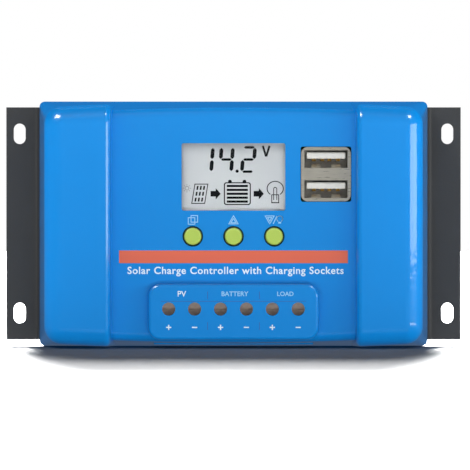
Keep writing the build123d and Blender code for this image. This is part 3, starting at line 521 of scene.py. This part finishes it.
def metal(name, colour, roughness, streak_size, metallic=0.55, streak_depth=0.15):
    """Worked metal with the streaks. metallic is part way, so that it isn't black in this room."""
    material = bpy.data.materials.new(name)
    material.use_nodes = True
    tree = material.node_tree
    shader = tree.nodes["Principled BSDF"]
    worked = tree.nodes.new("ShaderNodeGroup")
    worked.node_tree = streaks
    worked.inputs["Dark"].default_value = (*(0.72 * c for c in colour[:3]), 1)
    worked.inputs["Light"].default_value = (*(min(1.0, 1.12 * c) for c in colour[:3]), 1)
    worked.inputs["Streak size"].default_value = streak_size
    worked.inputs["Streak depth"].default_value = streak_depth
    worked.inputs["Least roughness"].default_value = roughness - 0.1
    tree.links.new(worked.outputs["Colour"], shader.inputs["Base Color"])
    tree.links.new(worked.outputs["Roughness"], shader.inputs["Roughness"])
    tree.links.new(worked.outputs["Normal"], shader.inputs["Normal"])
    shader.inputs["Metallic"].default_value = metallic
    return material


nickel = metal("nickel_plate", linear(202, 197, 182), 0.3, 2200.0)
gold = metal("gold_flash", linear(214, 170, 92), 0.25, 3000.0)
paint(nickel, "usb_shell")
paint(gold, "usb_contacts", "header_pins")


leaf_width, leaf_length, leaf_rise, leaf_crown = 2.6, 5.0, 0.85, 0.06
leaf_sheet = 0.15
leaf_columns, leaf_rows = 5, 17


def leaf(name, x, floor, mouth, material):
    """A spring leaf as a strip across X, whose height over the floor is a half sine from the mouth."""
    across = np.linspace(-leaf_width / 2, leaf_width / 2, leaf_columns)
    grid_x, grid_t = np.meshgrid(across, np.linspace(0, 1, leaf_rows))
    depth = mouth + leaf_length * grid_t
    crown = 1 - leaf_crown * (2 * grid_x / leaf_width) ** 2
    height = floor + leaf_rise * np.sin(np.pi * grid_t) * crown
    points = np.stack([x + grid_x, depth, height], axis=-1).reshape(-1, 3) * MM
    row = np.arange(leaf_rows - 1)[:, None] * leaf_columns + np.arange(leaf_columns - 1)
    faces = np.stack([row, row + 1, row + leaf_columns + 1, row + leaf_columns], axis=-1).reshape(-1, 4)
    mesh = bpy.data.meshes.new(name)
    mesh.from_pydata(points.tolist(), [], faces.tolist())
    mesh.materials.append(material)
    piece = bpy.data.objects.new(name, mesh)
    bpy.context.scene.collection.objects.link(piece)
    wall = piece.modifiers.new("sheet", "SOLIDIFY")
    wall.thickness, wall.offset = leaf_sheet * MM, 1
    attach(piece, "controller")
    return piece


shell_low, shell_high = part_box("usb_shell")
shell_x = (shell_low.x + shell_high.x) / 2 / MM
shell_z = (shell_low.z + shell_high.z) / 2 / MM
port_pitch, port_height = 8.7, 5.12
leaf_lift, leaf_inset, leaf_offset = 0.08, 1.2, 2.9  # off the floor, behind the mouth, off the middle
for port, port_z in (("upper", shell_z + port_pitch / 2), ("lower", shell_z - port_pitch / 2)):
    for place, side in (("left", -1), ("right", 1)):
        leaf(f"{port}_socket_leaf_{place}", shell_x + side * leaf_offset,
             port_z - port_height / 2 + leaf_lift, shell_low.y / MM + leaf_inset, nickel)

# ------------------------------------------------------------ terminals
# Zinc-plated clamp screws with a yellow-brown passivation, seen at the bottom of the cover's
# holes, and tin-plated cages and bars behind the wire entries.
terminals = [f"{group}_{sign}" for group in ("pv", "battery", "load") for sign in ("plus", "minus")]
zinc_brown = metal("passivated_zinc", linear(214, 192, 174), 0.45, 1800.0, 0.2)
tin = metal("tin_plate", linear(190, 190, 186), 0.35, 2000.0)
paint(zinc_brown, *[f"{name}_screw" for name in terminals])
paint(tin, *[f"{name}_cage" for name in terminals], "terminal_bars", "transistor_tabs",
      "transistor_leads", "switch_leads")

# ------------------------------------------------------------ inside
# The boards are green laminate with a gloss mask; the cans, the coil and the fixings behind it
# only show through the openings.
board_green = finish_of("green_mask", linear(20, 92, 52), 0.15, 1200.0, 0.2, 0.3, 0.08)
paint(board_green, "display_board", "power_board")
steel = metal("zinc_steel", linear(185, 187, 190), 0.32, 1800.0)
paint(steel, "display_screws", "board_screws")
paint(metal("turned_brass", linear(205, 170, 100), 0.3, 1500.0), "standoffs")
paint(metal("drawn_aluminium", linear(215, 216, 218), 0.3, 900.0), "capacitor_cans")
paint(finish_of("black_sleeve", linear(24, 28, 40), 0.1, 1500.0, 0.1, 0.25, 0.05), "capacitor_sleeves")
paint(finish_of("coated_ferrite", linear(150, 145, 60), 0.15, 1400.0, 0.3, 0.5, 0.1), "inductor_core")
paint(metal("enamelled_copper", linear(190, 105, 55), 0.3, 1200.0), "inductor_winding", "shunts")

# ------------------------------------------------------------ printing
# The front is screen printed: an orange stripe across the panel, the words for the three terminal
# pairs with their signs, fine division lines, and a picture over each button.
panel_front = 27.5 * MM
cover_front = 31.0 * MM
ink_orange = finish_of("orange_ink", linear(226, 103, 74), 0.04, 2600.0, 0.12, 0.42, 0.06)
ink_white = finish_of("white_ink", linear(222, 240, 250), 0.03, 2600.0, 0.1, 0.45, 0.05)
ink_pale = finish_of("pale_blue_ink", linear(150, 208, 245), 0.03, 2600.0, 0.1, 0.45, 0.05)
ink_shadow = finish_of("deep_blue_ink", linear(20, 104, 184), 0.04, 2600.0, 0.1, 0.4, 0.05)
film("orange_stripe", [square(0, -9.15, 66.3, 3.65)], panel_front, ink_orange)


def words(name, text, x, z, height, level, material, bold=0.0, spacing=1.0):
    """Printed words centred on x, z in mm, as a mesh that stands a little off the plane."""
    curve = bpy.data.curves.new(name, "FONT")
    curve.body = text
    curve.size = height / 0.7
    curve.align_x, curve.align_y = "CENTER", "CENTER"
    curve.offset = bold
    curve.space_character = spacing
    curve.extrude = 0.015
    curve.resolution_u = 4
    holder = bpy.data.objects.new(name + "_curve", curve)
    bpy.context.scene.collection.objects.link(holder)
    bpy.context.view_layer.update()
    mesh = bpy.data.meshes.new_from_object(holder.evaluated_get(bpy.context.evaluated_depsgraph_get()))
    bpy.data.objects.remove(holder)
    place = np.zeros(len(mesh.vertices) * 3)
    mesh.vertices.foreach_get("co", place)
    place = place.reshape(-1, 3)
    moved = np.stack([x + place[:, 0], -place[:, 2] - level / MM - 0.015, z + place[:, 1]], axis=1) * MM
    mesh.vertices.foreach_set("co", moved.ravel())
    mesh.name = name
    mesh.materials.clear()
    mesh.materials.append(material)
    piece = bpy.data.objects.new(name, mesh)
    bpy.context.scene.collection.objects.link(piece)
    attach(piece, "controller")
    return piece


words("kind_words", "Solar Charge Controller with Charging Sockets", 0.6, -13.2, 2.05, panel_front,
      ink_white, 0.05, 1.1)
pitch = 7.5
label_z, sign_z = -19.85, -29.5
for k, (text, height, ink) in enumerate((("PV", 1.6, ink_white), ("BATTERY", 1.32, ink_pale),
                                         ("LOAD", 1.25, ink_pale))):
    words(f"{text.lower()}_words", text, (k - 1) * 2 * pitch + 0.35 * k * (2 - k), label_z, height,
          cover_front, ink, 0.03)
signs = []
for k in range(6):
    sign_x = (k - 2.5) * pitch
    signs += [square(sign_x, sign_z, 1.5, 0.36)]
    if k % 2 == 0:
        signs += [square(sign_x, sign_z + 0.465, 0.36, 0.57), square(sign_x, sign_z - 0.465, 0.36, 0.57)]
film("terminal_signs", signs, cover_front, ink_white)
division_lines = [square(0, -21.95, 42.0, 0.22)]
division_lines += [square(x, z, 0.22, 2.2) for x in (-pitch, pitch) for z in (-20.2, -29.1)]
film("division_lines", division_lines, cover_front, ink_shadow)

icon_z, line = 1.5, 0.24
sheets = []
for left, low in ((-1.3, -1.2), (-0.5, -0.6)):
    x, z = -11.8 + left, icon_z + low
    sheets += strokes([(x, z), (x + 1.9, z), (x + 1.9, z + 1.9), (x, z + 1.9)], line, closed=True)
middle_icon = strokes([(-1.35, icon_z - 1.1), (1.35, icon_z - 1.1), (0, icon_z + 1.25)], line,
                      closed=True)
middle_icon += strokes([(-0.75, icon_z - 0.75), (0.75, icon_z - 0.75), (0, icon_z + 0.45)], line,
                       closed=True)
x, z = 10.5, icon_z
right_icon = strokes([(x - 1.3, z + 1.2), (x + 1.3, z + 1.2), (x, z - 1.1)], line, closed=True)
right_icon += strokes([(x - 0.6, z + 0.75), (x + 0.6, z + 0.75), (x, z - 0.3)], line, closed=True)
right_icon += [stroke(x + 1.0, z - 1.1, x + 2.1, z + 1.2, line)]
right_icon += strokes(arc(x + 2.9, z + 0.35, 0.85, -50, 230), line)
right_icon += [square(x + 2.9, z - 0.75, 0.8, 0.5)]
# The dark teal ring round each button is painted shade: a thin sheet on the panel at the hole's rim,
# standing in for the shaded gap between the cap and its hole.
button_gap_shade_rings = []
for place in ("left", "middle", "right"):
    low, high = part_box(f"{place}_button_cap")
    ring_x, ring_z = (low.x + high.x) / 2 / MM, (low.z + high.z) / 2 / MM
    button_gap_shade_rings += strokes(arc(ring_x, ring_z, 2.83, 0, 350, 36), 0.34, closed=True)
gap_shade_teal = finish_of("gap_shade_teal_paint", linear(8, 74, 84), 0.04, 2600.0, 0.1, 0.45, 0.05)
film("button_gap_shade_rings", button_gap_shade_rings, panel_front, gap_shade_teal)
film("button_pictures", sheets + middle_icon + right_icon, panel_front, ink_pale)
